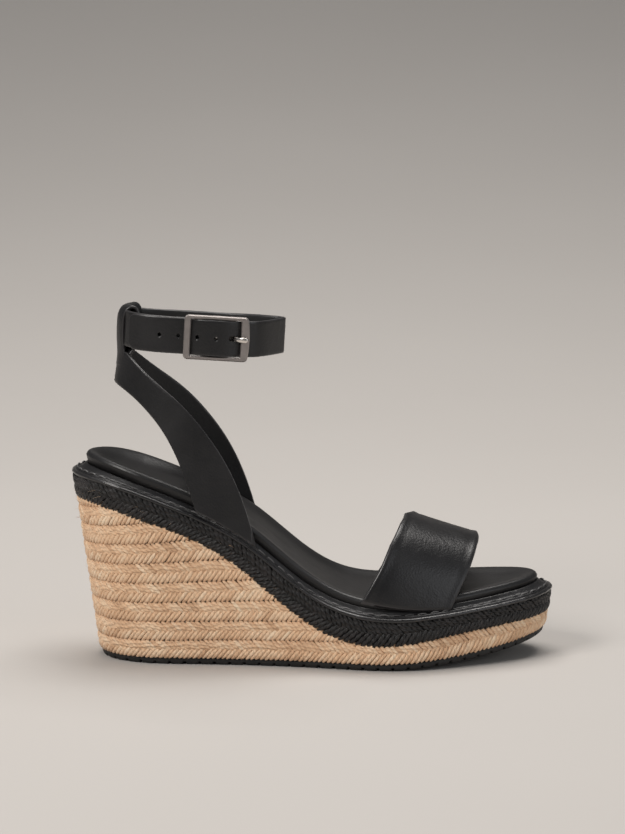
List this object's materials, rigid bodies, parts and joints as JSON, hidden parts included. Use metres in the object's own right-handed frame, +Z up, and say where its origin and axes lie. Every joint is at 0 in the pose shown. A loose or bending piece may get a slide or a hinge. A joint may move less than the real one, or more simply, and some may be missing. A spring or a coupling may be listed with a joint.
{
  "type": "wedge sandal",
  "caption": "Open-toe wedge sandal for the right foot, with a braided jute wedge, a wide vamp band, a sling quarter and a buckled ankle strap.",
  "frame": {"origin": "centre of the bounding box in plan, on the ground plane under the outsole", "axes": "+X towards the toe, +Y towards the inner side of the right foot, +Z up"},
  "size_m": [0.2457, 0.0871, 0.1813],
  "materials": {
    "black_leather": "smooth satin full-grain leather, dyed black, painted edges",
    "black_lining": "smooth black lining leather",
    "black_thread": "waxed black thread",
    "natural_jute": "natural jute braid, herringbone",
    "black_jute": "jute braid dyed black, slightly glossy",
    "black_rubber": "matt moulded rubber",
    "core_cork": "light pressed-cork core",
    "board": "fibre board",
    "foam": "soft latex foam",
    "gunmetal": "satin nickel-plated steel, flat face, polished bevels",
    "polished_steel": "polished nickel-plated steel"
  },
  "bodies": {
    "sandal": {"black_braid": "black_jute", "footbed_cover": "black_leather", "footbed_pad": "foam", "heel_loop": "black_leather", "insole_board": "board", "jute_braid_row_1": "natural_jute", "jute_braid_row_2": "natural_jute", "jute_braid_row_3": "natural_jute", "jute_braid_row_4": "natural_jute", "jute_braid_row_5": "natural_jute", "jute_braid_row_6": "natural_jute", "jute_braid_row_7": "natural_jute", "jute_braid_row_8": "natural_jute", "jute_braid_row_9": "natural_jute", "outsole": "black_rubber", "rand": "black_leather", "rand_stitches": "black_thread", "sling_lining": "black_lining", "sling_quarter": "black_leather", "vamp_band": "black_leather", "vamp_lining": "black_lining", "wedge_core": "core_cork", "welt": "black_leather"},
    "ankle_strap": {"ankle_strap": "black_leather", "ankle_strap_lining": "black_lining", "buckle_fold": "black_leather"},
    "strap_tongue": {"strap_tongue": "black_leather", "strap_tongue_lining": "black_lining"},
    "buckle_frame": {"buckle_frame": "gunmetal"},
    "buckle_prong": {"buckle_prong": "polished_steel"}
  },
  "joints": [
    {"name": "ankle_strap_tilt", "type": "hinge", "parent": "sandal", "child": "ankle_strap", "pos_m": [-0.09311, 0.0015, 0.1691], "axis": [0, 1, 0], "range_deg": [-6, 6]},
    {"name": "strap_open", "type": "hinge", "parent": "ankle_strap", "child": "strap_tongue", "pos_m": [-0.01813, -0.0011, 0.16478], "axis": [0.0576, 0, 0.9983], "range_deg": [0, 80], "deforming": ["strap_tongue", "strap_tongue_lining"]},
    {"name": "buckle_tilt", "type": "hinge", "parent": "ankle_strap", "child": "buckle_frame", "pos_m": [-0.04868, -0.0239, 0.16654], "axis": [0.0576, 0, 0.9983], "range_deg": [-3, 3]},
    {"name": "prong_swing", "type": "hinge", "parent": "buckle_frame", "child": "buckle_prong", "pos_m": [-0.04868, -0.0239, 0.16654], "axis": [-0.0576, 0, -0.9983], "range_deg": [0, 100]}
  ],
  "couplings": [
    {"joint": "prong_swing", "follows": "strap_open", "ratio": 1.25}
  ]
}
